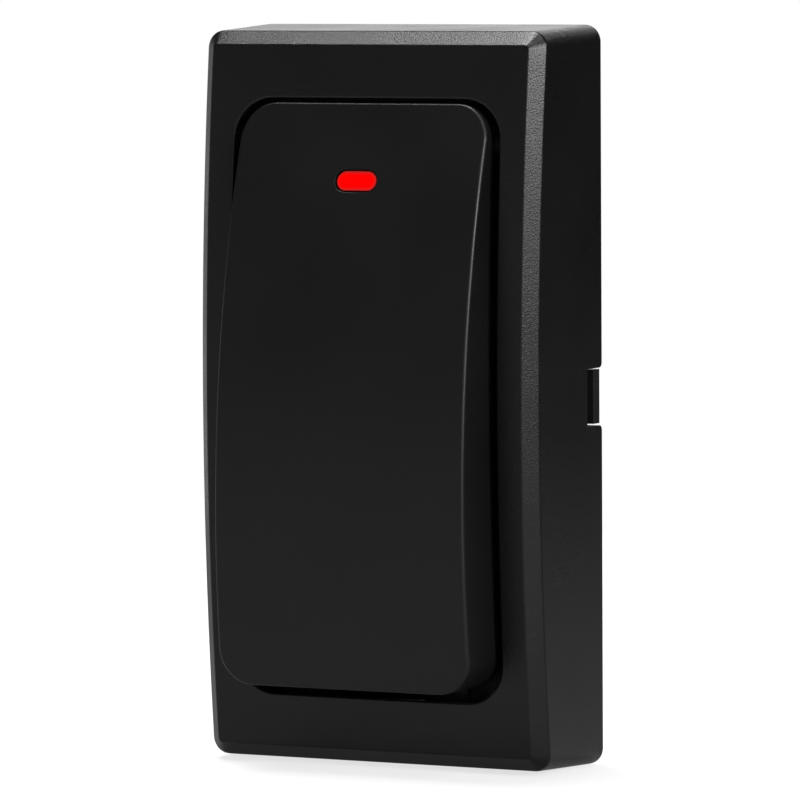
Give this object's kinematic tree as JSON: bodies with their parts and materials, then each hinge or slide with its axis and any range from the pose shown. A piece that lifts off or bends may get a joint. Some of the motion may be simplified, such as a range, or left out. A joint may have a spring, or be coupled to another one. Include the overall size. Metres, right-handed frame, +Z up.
{
  "type": "wireless doorbell push",
  "caption": "Black wireless doorbell push with a bowed, bevelled housing, a tall rocker button with a red lit window, and a wall plate that the housing pulls off.",
  "frame": {"origin": "middle of the back plate's rear face, which lies on the wall", "axes": "+X to the right seen from the front, +Z up along the housing, +Y into the wall, so the front faces -Y"},
  "size_m": [0.0478, 0.0248, 0.0914],
  "materials": {
    "housing_abs": "fine spark-eroded texture, satin",
    "button_abs": "smooth satin moulding",
    "plate_abs": "plain moulding",
    "frame_abs": "plain moulding",
    "lens_acrylic": "red acrylic, lit from behind",
    "led_epoxy": "tinted epoxy",
    "seal_rubber": "moulded rubber",
    "board_laminate": "solder mask over glass laminate",
    "part_nylon": "moulded nylon",
    "chip_epoxy": "moulded epoxy",
    "chip_ceramic": "fired ceramic",
    "zinc_steel": "zinc plated",
    "spring_steel": "drawn wire and strip",
    "tin_plate": "tinned sheet",
    "cell_steel": "nickel plated",
    "contact_bronze": "rolled phosphor bronze",
    "copper_wire": "enamelled copper",
    "can_aluminium": "drawn aluminium can"
  },
  "bodies": {
    "wall_plate": {"back_plate": "plate_abs", "plate_seal": "seal_rubber"},
    "front_unit": {"front_cover": "housing_abs", "inner_frame": "frame_abs", "frame_screws": "zinc_steel", "circuit_board": "board_laminate", "board_screws": "zinc_steel", "return_spring": "spring_steel", "switch_base": "part_nylon", "switch_dome": "spring_steel", "switch_cover": "tin_plate", "indicator_led": "led_epoxy", "battery_holder": "part_nylon", "negative_contact": "contact_bronze", "positive_clip": "tin_plate", "coin_cell": "cell_steel", "encoder_chip": "chip_epoxy", "rf_transistor": "chip_epoxy", "resonator_can": "tin_plate", "antenna_coil": "copper_wire", "filter_capacitor": "can_aluminium", "chip_capacitors": "chip_ceramic", "chip_resistors": "chip_epoxy"},
    "rocker": {"rocker_button": "button_abs", "window_lens": "lens_acrylic"},
    "plunger": {"switch_plunger": "part_nylon"}
  },
  "joints": [
    {"name": "housing_pull_off", "type": "slide", "parent": "wall_plate", "child": "front_unit", "axis": [0, -1, 0], "range_m": [0, 0.03]},
    {"name": "button_press", "type": "hinge", "parent": "front_unit", "child": "rocker", "pos_m": [0, -0.0133, 0.0315], "axis": [1, 0, 0], "range_deg": [0, 2], "stiffness_Nm_per_rad": 0.8, "springref_deg": -8.59, "deforming": ["return_spring"]},
    {"name": "switch_travel", "type": "slide", "parent": "front_unit", "child": "plunger", "axis": [0, 1, 0], "range_m": [0, 0.00037], "deforming": ["switch_dome"]}
  ],
  "couplings": [
    {"joint": "switch_travel", "follows": "button_press", "m_per_rad": 0.0105}
  ]
}
